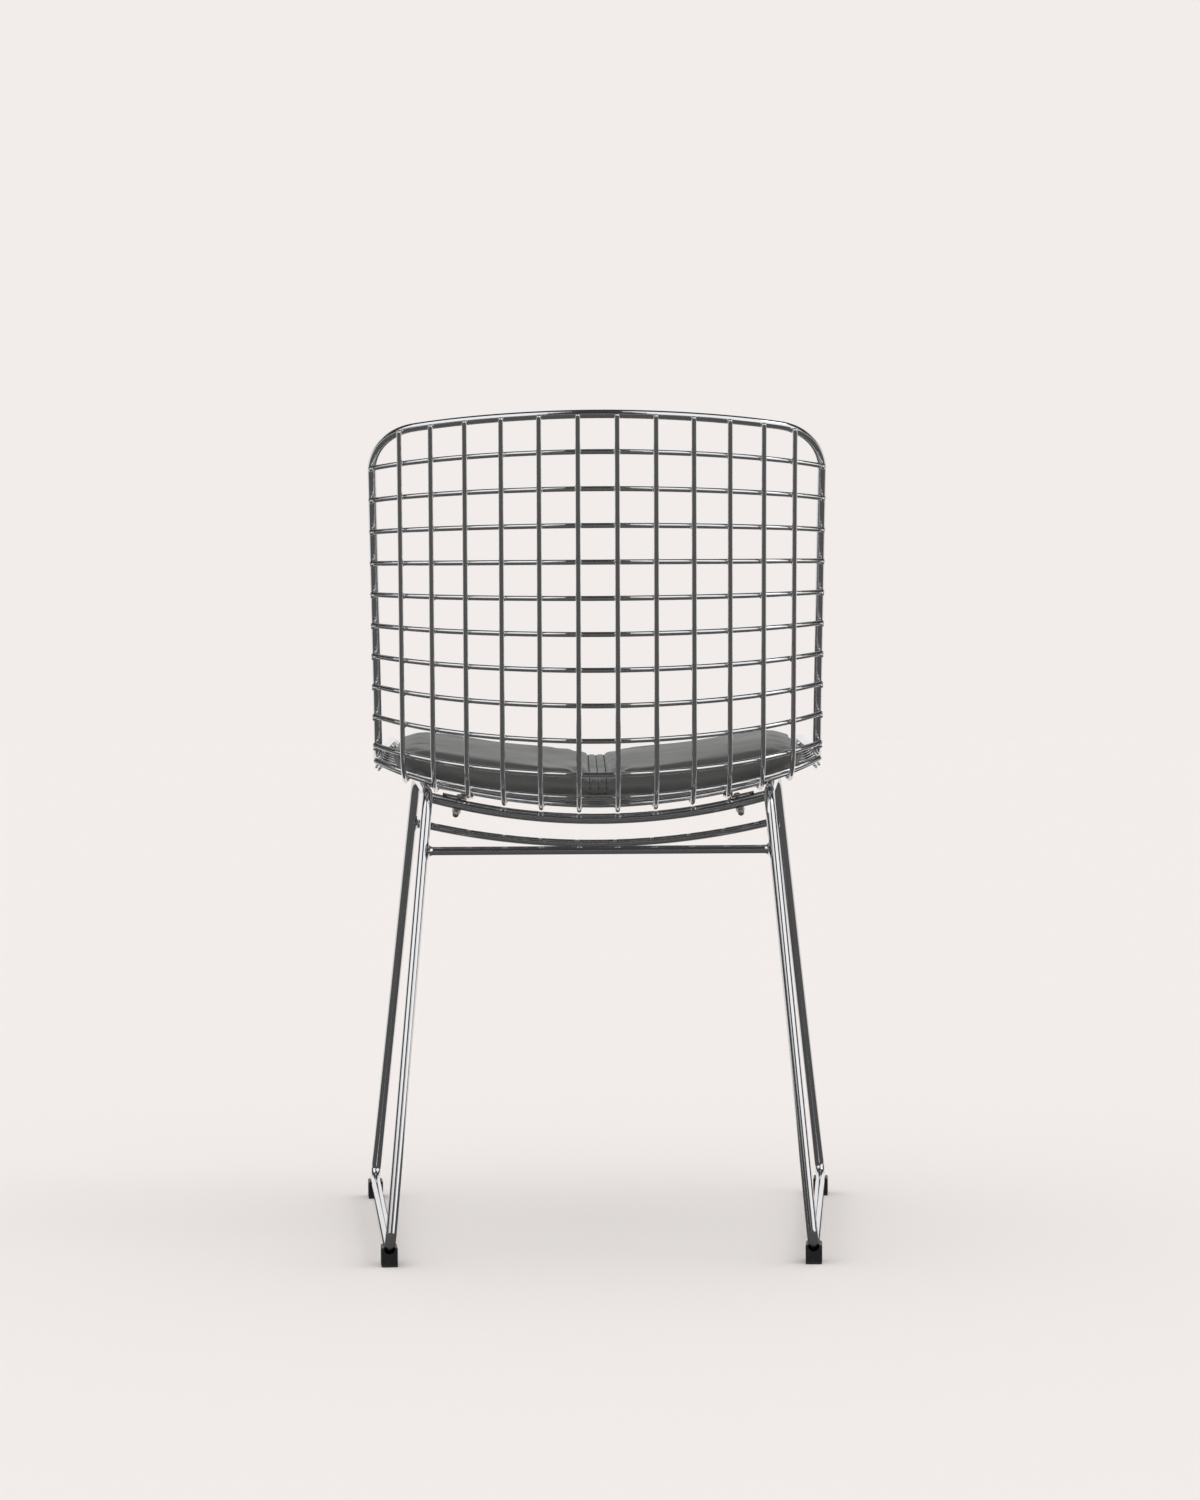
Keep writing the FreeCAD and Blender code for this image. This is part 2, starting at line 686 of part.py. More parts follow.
def make_nut(name, spot):
    """A cap nut: a six-sided base and a dome, with a blind bore."""
    base = doc.addObject("Part::Prism", name + "_hex")
    base.Polygon = 6
    base.setExpression("Circumradius", "Sizes.nut_across / sqrt(3)")
    base.setExpression("Height", "Sizes.nut_hex_height")
    neck = doc.addObject("Part::Cylinder", name + "_neck")
    neck.setExpression("Radius", "Sizes.nut_dome_radius")
    neck.setExpression("Height", "Sizes.nut_height - Sizes.nut_dome_radius")
    dome = doc.addObject("Part::Sphere", name + "_dome")
    dome.setExpression("Radius", "Sizes.nut_dome_radius")
    dome.Placement.Base = Vector(0, 0, size("nut_height") - size("nut_dome_radius"))
    whole = doc.addObject("Part::MultiFuse", name + "_blank")
    whole.Shapes = [base, neck, dome]
    bore = doc.addObject("Part::Cylinder", name + "_bore")
    bore.setExpression("Radius", "Sizes.bolt_diameter / 2 + Sizes.thread_slack")
    bore.setExpression("Height", "Sizes.nut_bore_depth")
    nut = doc.addObject("Part::Cut", name)
    nut.Base = whole
    nut.Tool = bore
    under = spot.shifted(-size("leg_diameter"))
    nut.Placement = under.multiply(Placement(Vector(0, 0, 0), Rotation(Vector(1, 0, 0), 180)))
    return nut


drills = {"rear": [], "front": []}
bolts = []
nuts = []
for end, rod in seat_rods.items():
    for side_name, side in SIDES:
        spot = ClipSpot(rod, side)
        name = "%s_%s_clip" % (end, side_name)
        keep(make_clip(name + "_body", spot), name)
        bolts.append(make_bolt(name + "_bolt", spot))
        nuts.append(make_nut(name + "_nut", spot))
        below = spot.shifted(-1.5 * size("leg_diameter"))
        drills[end].append(cylinder(name + "_drill", "Sizes.bolt_hole / 2", "2 * Sizes.leg_diameter", below))

for end, rod in seat_rods.items():
    bar = bent_rod(end + "_seat_bar", rod.edges(), "leg_diameter")
    keep(coped(end + "_seat_bar", bar, frames + drills[end]), end + "_seat_rod")

bolt_group = doc.addObject("Part::Compound", "bolt_group")
bolt_group.Links = bolts
keep(bolt_group, "clip_bolts")
nut_group = doc.addObject("Part::Compound", "nut_group")
nut_group.Links = nuts
keep(nut_group, "clip_nuts")

# Stretchers: a straight rod between the rear legs and a bowed one between the front legs
rear_leg = frame_point(0, 3, height=size("rear_stretcher_height"))
straight = Part.makeLine(Vector(-rear_leg.x, rear_leg.y, rear_leg.z), rear_leg)
bar = bent_rod("rear_stretcher_bar", [straight], "stretcher_diameter")
keep(coped("rear_stretcher_bar", bar, frames), "rear_stretcher")

front_leg = frame_point(1, 2, height=size("front_stretcher_height"))
dip = Vector(0, front_leg.y, front_leg.z - size("front_stretcher_dip"))
bow = Part.Arc(Vector(-front_leg.x, front_leg.y, front_leg.z), dip, front_leg).toShape()
bar = bent_rod("front_stretcher_bar", [bow], "stretcher_diameter")
keep(coped("front_stretcher_bar", bar, frames), "front_stretcher")


# Glides: a block under each end of a runner, with an open channel for the rod

def make_glide(name, side, at_front):
    """A floor glide, in its own frame with the runner along Y, then turned to the runner."""
    body = doc.addObject("PartDesign::Body", name)
    wide = size("glide_width") / 2
    long = size("glide_length") / 2
    corners = [Vector(-wide, -long, 0), Vector(wide, -long, 0), Vector(wide, long, 0), Vector(-wide, long, 0)]
    outline = [Part.LineSegment(corners[i], corners[(i + 1) % 4]) for i in range(4)]
    block = body.newObject("PartDesign::Pad", name + "_block")
    block.Profile = sketch_on(body, name + "_outline", "XY_Plane", outline)
    block.setExpression("Length", "Sizes.glide_height")
    doc.recompute()
    fillet = body.newObject("PartDesign::Fillet", name + "_edges")
    chosen = []
    for index, edge in enumerate(block.Shape.Edges):
        middle = edge.CenterOfMass
        upright = abs(abs(middle.x) - wide) < 0.01 and abs(abs(middle.y) - long) < 0.01
        if upright or middle.z > size("glide_height") - 0.01:
            chosen.append("Edge%d" % (index + 1))
    fillet.Base = (block, chosen)
    fillet.setExpression("Radius", "Sizes.glide_edge")
    doc.recompute()
    reach = size("leg_diameter") / 2 + size("glide_slack")
    axis = size("runner_height")
    top = size("glide_height") + 1
    channel = [
        Part.LineSegment(Vector(-reach, top, 0), Vector(-reach, axis, 0)),
        Part.Arc(Vector(-reach, axis, 0), Vector(0, axis - reach, 0), Vector(reach, axis, 0)),
        Part.LineSegment(Vector(reach, axis, 0), Vector(reach, top, 0)),
        Part.LineSegment(Vector(reach, top, 0), Vector(-reach, top, 0)),
    ]
    groove = body.newObject("PartDesign::Pocket", name + "_channel")
    groove.Profile = sketch_on(body, name + "_channel_sketch", "XZ_Plane", channel)
    groove.Midplane = True
    groove.Type = "Length"
    groove.Length = 2 * size("glide_length")
    body.Tip = groove
    corner_top, corner_end = (2, 3) if at_front else (3, 2)
    corners = frame_corners(side)
    corner = corners[corner_top]
    runner = corners[corner_end] - corner
    runner.normalize()
    middle = corner + runner * (size("glide_inset") + long)
    angle = math.degrees(math.atan2(-runner.x, runner.y))
    body.Placement = Placement(Vector(middle.x, middle.y, 0), Rotation(Vector(0, 0, 1), angle))
    return body


for side_name, side in SIDES:
    for end, at_front in (("front", True), ("rear", False)):
        name = "%s_%s_glide" % (end, side_name)
        keep(make_glide(name + "_body", side, at_front), name)


# Seat pad: a skin over foam, dished like the seat, with a sewn band along its middle

def resting_height(x, forward):
    """Height of the pad's underside, which follows the mesh at a steady clearance."""
    offset = 2 * WIRE_OFFSET + size("pad_clearance")
    u = x / HALF_ARC
    s = Line(u).back + forward / 2
    for step in range(40):
        point = raised(u, s, offset)
        u += (x - point.x) / HALF_ARC
        s += 0.7 * (point.y - place(0, forward, 0).y)
    return point.z


PAD_STATIONS = (0.0, 0.015, 0.04, 0.08, 0.14, 0.22, 0.36, 0.55, 0.75, 0.88, 0.95, 0.985, 1.0)


def quarter_round(share, length):
    """0 to 1 along a quarter circle, as share runs from 0 to length."""
    left = 1 - min(1.0, share / length)
    return math.sqrt(1 - left * left)


def pad_narrowing(share):
    """Half width and thickness factors of the pad, from 0 at its rear to 1 at its front."""
    rear = size("pad_rear_corner") * (1 - quarter_round(share, 0.22))
    front = size("pad_front_corner") * (1 - quarter_round(1 - share, 0.12))
    thick = size("pad_end_thickness")
    return 1 - rear - front, thick + (1 - thick) * quarter_round(min(share, 1 - share), 0.08)


def pad_section(share, inset):
    """One closed section across the pad, made of arcs. inset moves it inwards all round."""
    forward = size("pad_rear") + (size("pad_front") - size("pad_rear")) * share
    narrow, thick = pad_narrowing(share)
    width = size("pad_half_width") * narrow
    full = size("pad_thickness") * thick
    side = min(full * 0.5, 9.0)
    inner = width - side
    band = size("pad_band_half_width")
    seam = full - size("pad_seam_depth") * thick
    lobe = (inner + band) / 2
    skew = 0.7 * inset
    ends = forward + inset * (1 - 2 * share)
    low = resting_height(width, ends)

    def point(x, height, inwards=0.0, upwards=0.0):
        return place(x - inwards, ends, height + upwards)

    def bottom(x):
        return point(x, resting_height(x, ends), 0, inset)

    def top(x, rise):
        return point(x, resting_height(x, ends) + rise, 0, -inset)

    right = [
        (bottom(0), bottom(inner / 4), bottom(inner / 2)),
        (bottom(inner / 2), bottom(inner * 3 / 4), bottom(inner)),
        (bottom(inner), point(inner + side * 0.72, low + full * 0.12, skew, skew),
         point(width, low + full * 0.42, inset, 0)),
        (point(width, low + full * 0.42, inset, 0),
         point(inner + side * 0.66, low + full * 0.80, skew, -skew),
         top(inner, full * 0.93)),
        (top(inner, full * 0.93), top(lobe, full * 1.02), top(band, seam)),
        (top(band, seam), top(band / 2, seam + 1.2 * thick), top(0, seam)),
    ]
    left = [[Vector(-p.x, p.y, p.z) for p in reversed(arc)] for arc in reversed(right)]
    return Part.Wire([Part.Arc(*arc).toShape() for arc in right + left])


def pad_solid(name, inset):
    """The pad's closed form, moved inwards by inset."""
    solid = doc.addObject("Part::Feature", name)
    solid.Shape = Part.makeLoft([pad_section(share, inset) for share in PAD_STATIONS], True, False)
    return solid


skin = size("cover_thickness")
outer = pad_solid("pad_outer", 0.0)
hollow = pad_solid("pad_hollow", skin)
cover = doc.addObject("Part::Cut", "pad_cover")
cover.Base = outer
cover.Tool = hollow
keep(cover, "seat_pad_cover")
keep(pad_solid("pad_foam", skin + size("foam_clearance")), "seat_pad_foam")

doc.recompute()

# Every object must have recomputed, and every sub-part must be a sound solid, before any is written
for item in doc.Objects:
    if "Invalid" in item.State or "Error" in item.State:
        raise RuntimeError("%s failed: %s" % (item.Name, item.State))
for piece in parts:
    if piece.Shape.isNull() or not piece.Shape.isValid() or piece.Shape.Volume <= 0:
        raise RuntimeError("%s has no sound solid" % piece.Label)

os.makedirs("parts", exist_ok=True)
whole = FreeCAD.BoundBox()
for piece in parts:
    piece.Shape.exportStep("parts/%s.step" % piece.Label)
    whole.add(piece.Shape.BoundBox)
    print("%-18s %2d solid %10.1f mm3" % (piece.Label, len(piece.Shape.Solids), piece.Shape.Volume))
print("x %.1f to %.1f, y %.1f to %.1f, z %.1f to %.1f" % (
    whole.XMin, whole.XMax, whole.YMin, whole.YMax, whole.ZMin, whole.ZMax))
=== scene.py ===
"""Dresses the wire mesh side chair: chrome plate, weld beads, leatherette pad, glides and studio.

Lengths are in millimetres in this file and turned to metres where a mesh is made. Places on the
chair are given as in its construction: x to the sitter's left, a forward distance from the rear
legs' lower corners, and a height over the floor.
"""
import math

import bmesh
import bpy
import numpy as np
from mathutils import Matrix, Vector
from mathutils.bvhtree import BVHTree


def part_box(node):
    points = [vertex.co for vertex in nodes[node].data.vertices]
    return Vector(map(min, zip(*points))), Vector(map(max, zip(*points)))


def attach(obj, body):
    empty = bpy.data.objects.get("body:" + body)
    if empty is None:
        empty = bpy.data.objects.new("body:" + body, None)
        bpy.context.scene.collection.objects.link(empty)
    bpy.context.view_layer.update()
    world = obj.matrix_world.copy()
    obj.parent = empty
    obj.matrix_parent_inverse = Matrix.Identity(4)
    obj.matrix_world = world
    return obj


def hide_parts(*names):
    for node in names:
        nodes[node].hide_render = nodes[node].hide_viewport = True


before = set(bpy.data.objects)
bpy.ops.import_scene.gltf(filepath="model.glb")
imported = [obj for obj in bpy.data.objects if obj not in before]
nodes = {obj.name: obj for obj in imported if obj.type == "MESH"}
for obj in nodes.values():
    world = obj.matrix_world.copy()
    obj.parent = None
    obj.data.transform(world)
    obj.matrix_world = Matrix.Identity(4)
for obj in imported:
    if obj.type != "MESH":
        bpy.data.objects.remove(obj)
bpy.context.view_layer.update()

MM = 0.001
MID_DEPTH = 205.2


# The shell's middle surface, between long and cross wires

HALF_ARC = 239.36
WRAP = 0.1162
TAPER = 0.025
DISH = 1.85
SEAT_FRONT = 470.0
ROLL_RADIUS = 150.0
ROLL_TURN = math.radians(18)
SIDE_HEIGHT = 460.0
TAPER_HEIGHT = 317.7
WIRE = 2.4
LONG_WIRES = 12
CROSS_WIRES = 22
BACK_GAPS = 10
EDGE_GAPS = 6.8
CORNER_WIDTH = 60.0
TOP_CORNER = 36.0
FRONT_CORNER = 45.0
TIP_INSET = 0.015
BEAD_INSET = 0.039
BEAD_OUT = 2.9


def blend(middle, edge, u):
    """middle at u = 0 and edge at u = 1, growing with |u| to the power DISH."""
    return middle + (edge - middle) * np.abs(u) ** DISH


def line_sizes(u):
    """Angles, radii and run lengths of the lengthways line u: back, heel bend, seat, front roll."""
    lean = np.radians(blend(17.1, 24.9, u))
    slope = np.radians(blend(3.2, 2.5, u))
    heel_forward = blend(49.3, 136.5, u)
    heel_height = blend(416.9, 460.0, u)
    radius = blend(65.0, 45.0, u)
    turn = np.pi / 2 - lean + slope
    tangent = radius * np.tan(turn / 2)
    back = (blend(777.7, 762.5, u) - heel_height) / np.cos(lean) - tangent
    curl = ROLL_RADIUS * ROLL_TURN
    seat = (SEAT_FRONT - heel_forward) / np.cos(slope) - tangent - ROLL_RADIUS * math.sin(ROLL_TURN)
    return (lean - np.pi / 2, slope, radius, heel_forward, heel_height, tangent, back,
            radius * turn, seat, curl)


def line_length(u):
    """Length of the line u from the back's top to the seat's front."""
    sizes = line_sizes(u)
    return sizes[6] + sizes[7] + sizes[8] + sizes[9]


def shell(u, s):
    """Points at the length s down the line u: a straight run, an arc, a straight run and an arc
    that rolls down, added up; x is the half arc times u, less a share of its cube."""
    down, slope, radius, heel_forward, heel_height, tangent, back, bend, seat, curl = line_sizes(u)
    run = back + tangent
    first = np.minimum(s, back)
    turned = down + np.clip(s - back, 0, bend) / radius
    second = np.clip(s - back - bend, 0, seat)
    rolled = slope - np.clip(s - back - bend - seat, 0, curl) / ROLL_RADIUS
    forward = heel_forward - (run - first) * np.cos(down) + radius * (np.sin(turned) - np.sin(down))
    forward = forward + second * np.cos(slope) - ROLL_RADIUS * (np.sin(rolled) - np.sin(slope))
    height = heel_height - (run - first) * np.sin(down) - radius * (np.cos(turned) - np.cos(down))
    height = height + second * np.sin(slope) + ROLL_RADIUS * (np.cos(rolled) - np.cos(slope))
    flare = 1 + TAPER * (1 - np.clip((height - SIDE_HEIGHT) / TAPER_HEIGHT, 0, 1))
    across = HALF_ARC * u * (1 - WRAP * u * u) * flare
    return np.stack([across, MID_DEPTH - forward, height], -1)


def unit(vectors):
    """Vectors divided by their lengths."""
    return vectors / np.linalg.norm(vectors, axis=-1, keepdims=True)


def shell_frame(u, s):
    """Directions across, along and inwards at a point of the shell, by small differences."""
    across = unit(shell(u + 1e-3, s) - shell(u - 1e-3, s))
    along = unit(shell(u, s + 0.5) - shell(u, s - 0.5))
    inward = unit(np.cross(across, along))
    facing = np.sign(inward[..., 2] - inward[..., 1])[..., None]
    return across, along, inward * facing


def cross_wire_s(number, u):
    """Length at which a cross wire meets the line u: steady steps down the back, then steady
    steps over what is left."""
    pitch = blend(34.3, 31.2, u)
    back = BACK_GAPS * pitch
    rest = (line_length(u) - back) / (CROSS_WIRES + 1 - BACK_GAPS)
    return np.where(number <= BACK_GAPS, number * pitch, back + (number - BACK_GAPS) * rest)


def resting_height(across, forward, offset):
    """Height of the face that lies at an offset from the shell over its seat, found by walking u
    and s until the raised point lies over the wanted place."""
    u = across / HALF_ARC
    s = line_sizes(u)[6] + forward / 2
    for _ in range(40):
        inward = shell_frame(u, s)[2]
        point = shell(u, s) + inward * offset
        u = u + (across - point[..., 0]) / HALF_ARC
        s = s + 0.7 * (point[..., 1] - (MID_DEPTH - forward))
    return point[..., 2]


# Meshes from arrays

def mesh_piece(name, points, faces, smooth=True):
    """A mesh object at the origin from points in millimetres and rows of corner numbers."""
    mesh = bpy.data.meshes.new(name)
    faces = np.asarray(faces)
    mesh.vertices.add(len(points))
    mesh.vertices.foreach_set("co", (np.asarray(points) * MM).astype(np.float32).ravel())
    mesh.loops.add(faces.size)
    mesh.loops.foreach_set("vertex_index", faces.astype(np.int32).ravel())
    mesh.polygons.add(len(faces))
    starts = np.arange(0, faces.size, faces.shape[1], dtype=np.int32)
    mesh.polygons.foreach_set("loop_start", starts)
    mesh.update(calc_edges=True)
    mesh.validate()
    mesh.polygons.foreach_set("use_smooth", np.full(len(faces), smooth))
    piece = bpy.data.objects.new(name, mesh)
    bpy.context.scene.collection.objects.link(piece)
    return piece


def grid_faces(rows, columns, closed=True):
    """Four-cornered faces of a grid whose columns close round, row by row."""
    row = np.arange(rows - 1)[:, None]
    column = np.arange(columns if closed else columns - 1)[None, :]
    following = (column + 1) % columns
    corners = [row * columns + column, row * columns + following,
               (row + 1) * columns + following, (row + 1) * columns + column]
    return np.stack(corners, -1).reshape(-1, 4)


def cleaned(piece):
    """Merges doubled points of a piece and turns its faces outwards."""
    work = bmesh.new()
    work.from_mesh(piece.data)
    bmesh.ops.remove_doubles(work, verts=work.verts, dist=1e-6)
    bmesh.ops.dissolve_degenerate(work, edges=work.edges, dist=1e-7)
    bmesh.ops.recalc_face_normals(work, faces=work.faces)
    work.to_mesh(piece.data)
    work.free()
    return piece


def beads(name, centres, axes, radii, rings=7, sides=10):
    """Egg-shaped beads: each is a unit sphere by latitude and longitude, stretched by three radii
    along its own three axes and moved to its centre."""
    latitude = np.linspace(-np.pi / 2, np.pi / 2, rings)[:, None]
    longitude = np.linspace(0, 2 * np.pi, sides, endpoint=False)[None, :]
    ball = np.stack([np.cos(latitude) * np.cos(longitude), np.cos(latitude) * np.sin(longitude),
                     np.sin(latitude) + 0 * longitude], -1).reshape(-1, 3)
    stretched = ball[None, :, :] * radii[:, None, :]
    points = np.einsum("bpk,bkc->bpc", stretched, axes) + centres[:, None, :]
    faces = grid_faces(rings, sides)
    faces = faces[None] + (np.arange(len(centres)) * len(ball))[:, None, None]
    return cleaned(mesh_piece(name, points.reshape(-1, 3), faces.reshape(-1, 4)))


def collar(name, ends, sides=28, steps=9):
    """Weld fillets: at each rod end a ring whose radius grows as a quarter circle from the rod's
    surface to its own reach, along the rod's axis."""
    points = []
    faces = []
    for centre, axis, rod, reach in ends:
        axis = unit(np.array(axis, float))
        side = unit(np.cross(axis, [0.0, 0.3, 1.0]))
        up = np.cross(axis, side)
        turn = np.linspace(0, np.pi / 2, steps)[:, None, None]
        angle = np.linspace(0, 2 * np.pi, sides, endpoint=False)[None, :, None]
        radius = rod + reach * (1 - np.cos(turn))
        along = reach * np.sin(turn) - reach
        outward = np.cos(angle) * side + np.sin(angle) * up
        ring = np.array(centre) + along * axis + radius * outward
        faces.append(grid_faces(steps, sides) + len(points) * steps * sides)
        points.append(ring.reshape(-1, 3))
    return cleaned(mesh_piece(name, np.concatenate(points), np.concatenate(faces)))


# Weld beads where the wires cross, and the rounded ends of the wires on the rim

long_u = (np.arange(1, LONG_WIRES + 1) - (LONG_WIRES + 1) / 2) / EDGE_GAPS
crossing_u, crossing_row = np.meshgrid(long_u, np.arange(1, CROSS_WIRES + 1))
crossing_s = cross_wire_s(crossing_row, crossing_u)
across, along, inward = (part.reshape(-1, 3) for part in shell_frame(crossing_u, crossing_s))
centres = shell(crossing_u, crossing_s).reshape(-1, 3)
seed = np.random.default_rng(7)
swell = seed.uniform(0.88, 1.12, (len(centres), 1))
radii = np.array([[3.3, 3.3, 1.8]]) * swell
weld_beads = beads("weld_beads", centres, np.stack([across, along, inward], 1), radii)


def rim_drop(u, corner):
    """How far the rim's rounded corner has come in along the line u, as a quarter ellipse."""
    inset = np.minimum(1, (1 - np.abs(u)) * HALF_ARC / CORNER_WIDTH)
    return corner * (1 - np.sqrt(1 - (1 - inset) ** 2))


def rim_u(s):
    """u of the rim at the length s of its side line, as the same quarter ellipse."""
    depth = np.minimum(np.minimum(s / TOP_CORNER, (line_length(1.0) - s) / FRONT_CORNER), 1.0)
    return 1 - (1 - np.sqrt(1 - (1 - depth) ** 2)) * CORNER_WIDTH / HALF_ARC


def wire_tips():
    """Places and axes of the wires' ends: the long wires' at the top and the front on the outer
    side, and the cross wires' on both sides on the inner side."""
    places, directions = [], []
    ends = ((rim_drop(long_u, TOP_CORNER), -1),
            (line_length(long_u) - rim_drop(long_u, FRONT_CORNER), 1))
    for s, way in ends:
        axes = shell_frame(long_u, s)
        places.append(shell(long_u, s) - axes[2] * WIRE)
        directions.append(axes[1] * way)
    rows = np.arange(1, CROSS_WIRES + 1)
    for side in (-1, 1):
        u = side * (rim_u(cross_wire_s(rows, np.ones(CROSS_WIRES))) - TIP_INSET)
        s = cross_wire_s(rows, u)
        axes = shell_frame(u, s)
        places.append(shell(u, s) + axes[2] * WIRE)
        directions.append(axes[0] * side)
    return np.concatenate(places), np.concatenate(directions)


tips, ways = wire_tips()
sideways = unit(np.cross(ways, np.array([[0.13, 0.31, 0.94]])))
tip_axes = np.stack([sideways, np.cross(ways, sideways), ways], 1)
tip_radii = np.tile([[2.52, 2.52, 2.1]], (len(tips), 1))
wire_ends = beads("wire_ends", tips, tip_axes, tip_radii, rings=9, sides=14)


# Weld beads on the back of the rim, one at each cross wire's end

rows = np.arange(1, CROSS_WIRES)
rim_row, rim_side = np.meshgrid(rows, (-1.0, 1.0))
bead_u = rim_side * (rim_u(cross_wire_s(rim_row, np.ones(rim_row.shape))) - BEAD_INSET)
bead_s = cross_wire_s(rim_row, bead_u)
bead_axes = np.stack(shell_frame(bead_u, bead_s), -2).reshape(-1, 3, 3)
bead_places = shell(bead_u, bead_s).reshape(-1, 3) - bead_axes[:, 2] * BEAD_OUT
bead_radii = np.tile([[2.5, 2.3, 2.1]], (len(bead_places), 1))
rim_welds = beads("rim_welds", bead_places, bead_axes, bead_radii, rings=9, sides=14)


# Fillets where rods are welded to the side frames

def rod_ends(node, rod, slope, sink, reach):
    """Both ends of a rod that spans the chair, from the box of its node; slope is its rise per
    length at its ends, and sink moves the weld into the frame."""
    low, high = (np.array(corner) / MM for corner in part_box(node))
    middle = (low[1] + high[1]) / 2
    axis = unit(np.array([1.0, 0.0, slope]))
    height = high[2] - rod if slope else (low[2] + high[2]) / 2
    ends = []
    for side in (-1, 1):
        centre = [side * (high[0] + sink), middle, height + slope * sink]
        ends.append((centre, [side * axis[0], 0, axis[2]], rod, reach))
    return ends


frame_welds = collar("frame_welds", rod_ends("rear_stretcher", 4.0, 0.0, -2.2, 4.2)
                     + rod_ends("front_stretcher", 4.0, 0.256, -2.6, 4.2))


# Seat pad: a crowned cushion with rounded sides, drawn in between its corners, two halves and a
# sewn band between them

PAD_REAR = 108.0
PAD_FRONT = 458.0
PAD_HALF = 208.0
PAD_THICK = 25.0
BAND = 8.0
PAD_LIFT = 5.5
PAD_PULL = 2.0
PAD_NARROW = 0.02
EDGE_ROLL = 11.0
TOP_ROLL = 34.0
STITCH_STEP = 4.6
STITCH_HALF = 1.4


def pad_outline(angle):
    """Points of the pad's edge seen from above: a rounded rectangle as a super-ellipse of the
    ninth power, with sides that pull in by a few millimetres halfway."""
    c, s = np.cos(angle), np.sin(angle)
    across = np.sign(c) * np.abs(c) ** (2 / 9)
    forth = np.sign(s) * np.abs(s) ** (2 / 9)
    x = (PAD_HALF - PAD_PULL * (1 - forth ** 2)) * across
    y = ((PAD_FRONT - PAD_REAR) / 2 - PAD_PULL * (1 - across ** 2)) * forth
    narrow = 1 - PAD_NARROW * np.clip(-forth, 0, 1) ** 2
    return np.stack([x * narrow, y + (PAD_FRONT + PAD_REAR) / 2], -1)


def pad_points(rings, sides, shrink):
    """The pad's closed surface: rings run from the middle of the top out to the edge and back to
    the middle of the underside. Height over the mesh is half the thickness plus a wide quarter
    round and a low crown, or minus a narrow quarter round; the band is sunk into the top, and the
    top's ends droop."""
    angle = np.linspace(0, 2 * np.pi, sides, endpoint=False)[None, :]
    run = np.concatenate([np.linspace(0, 1, rings), np.linspace(1, 0, rings)[1:]])[:, None]
    share = 1 - (1 - run) ** 1.35
    outline = pad_outline(angle)
    centre = np.array([0.0, (PAD_FRONT + PAD_REAR) / 2])
    plan = centre + (outline - centre) * share[..., None]
    reach = np.linalg.norm(outline - centre, axis=-1) - shrink
    gap = np.clip((1 - share) * reach, 0, None)
    edge = np.sqrt(1 - (1 - np.clip(gap / (EDGE_ROLL - shrink), 0, 1)) ** 2)
    roll = np.sqrt(1 - (1 - np.clip(gap / (TOP_ROLL - shrink), 0, 1)) ** 2)
    x, forward = plan[..., 0], plan[..., 1]
    full = PAD_THICK - 2 * shrink
    halves = np.clip(1 - ((np.abs(x) - 100.0) / 100.0) ** 2, 0, 1)
    along = np.clip(1 - ((forward - centre[1]) / 178.0) ** 2, 0, 1)
    crown = 3.0 * halves * along
    sunk = 1.6 * np.exp(-(np.abs(x) / (BAND + 3)) ** 6)
    droop = 6.0 * np.clip((np.abs(x) - 135) / 70, 0, 1) ** 2
    ground = resting_height(x, forward, PAD_LIFT)
    upper = np.arange(len(run))[:, None] < rings
    half = full / 2
    top = half + half * roll * 0.96 + (crown - sunk - droop) * roll
    bottom = half - half * edge
    height = ground + shrink + np.where(upper, top, bottom)
    shrunk = centre + (plan - centre) * (1 - shrink / 180.0)
    return np.stack([shrunk[..., 0], MID_DEPTH - shrunk[..., 1], height], -1)


def padded_form(piece, pinned_band, swell):
    """Blows the piece up a little as cloth under air pressure, with the sewn band held."""
    remesh = piece.modifiers.new("even_mesh", "REMESH")
    remesh.mode = "VOXEL"
    remesh.voxel_size = 4.5 * MM
    remesh.use_smooth_shade = True
    bake(piece)
    start = vertex_array(piece)
    grip = piece.vertex_groups.new(name="sewn")
    held = np.abs(start[:, 0]) < pinned_band
    for index in np.nonzero(held)[0]:
        grip.add([int(index)], 1.0, "REPLACE")
    cloth = piece.modifiers.new("air", "CLOTH")
    cloth.settings.use_pressure = True
    cloth.settings.uniform_pressure_force = 4.0
    cloth.settings.effector_weights.gravity = 0.0
    cloth.settings.vertex_group_mass = "sewn"
    cloth.settings.tension_stiffness = 12
    cloth.settings.compression_stiffness = 9
    cloth.settings.bending_stiffness = 0.9
    cloth.point_cache.frame_start = 1
    cloth.point_cache.frame_end = 20
    for step in range(1, 21):
        bpy.context.scene.frame_set(step)
    bake(piece)
    bpy.context.scene.frame_set(1)
    moved = vertex_array(piece) - start
    length = np.linalg.norm(moved, axis=1, keepdims=True)
    capped = start + moved * np.minimum(1, swell / np.maximum(length, 1e-9))
    set_vertices(piece, capped)


def vertex_array(piece):
    """The piece's points in millimetres."""
    flat = np.zeros(len(piece.data.vertices) * 3, np.float32)
    piece.data.vertices.foreach_get("co", flat)
    return flat.reshape(-1, 3).astype(float) / MM


def set_vertices(piece, points):
    """Puts points in millimetres back into the piece."""
    piece.data.vertices.foreach_set("co", (points * MM).astype(np.float32).ravel())
    piece.data.update()


def bake(piece):
    """Applies the piece's modifiers to its mesh."""
    bpy.context.view_layer.update()
    graph = bpy.context.evaluated_depsgraph_get()
    mesh = bpy.data.meshes.new_from_object(piece.evaluated_get(graph), depsgraph=graph)
    piece.modifiers.clear()
    piece.data = mesh


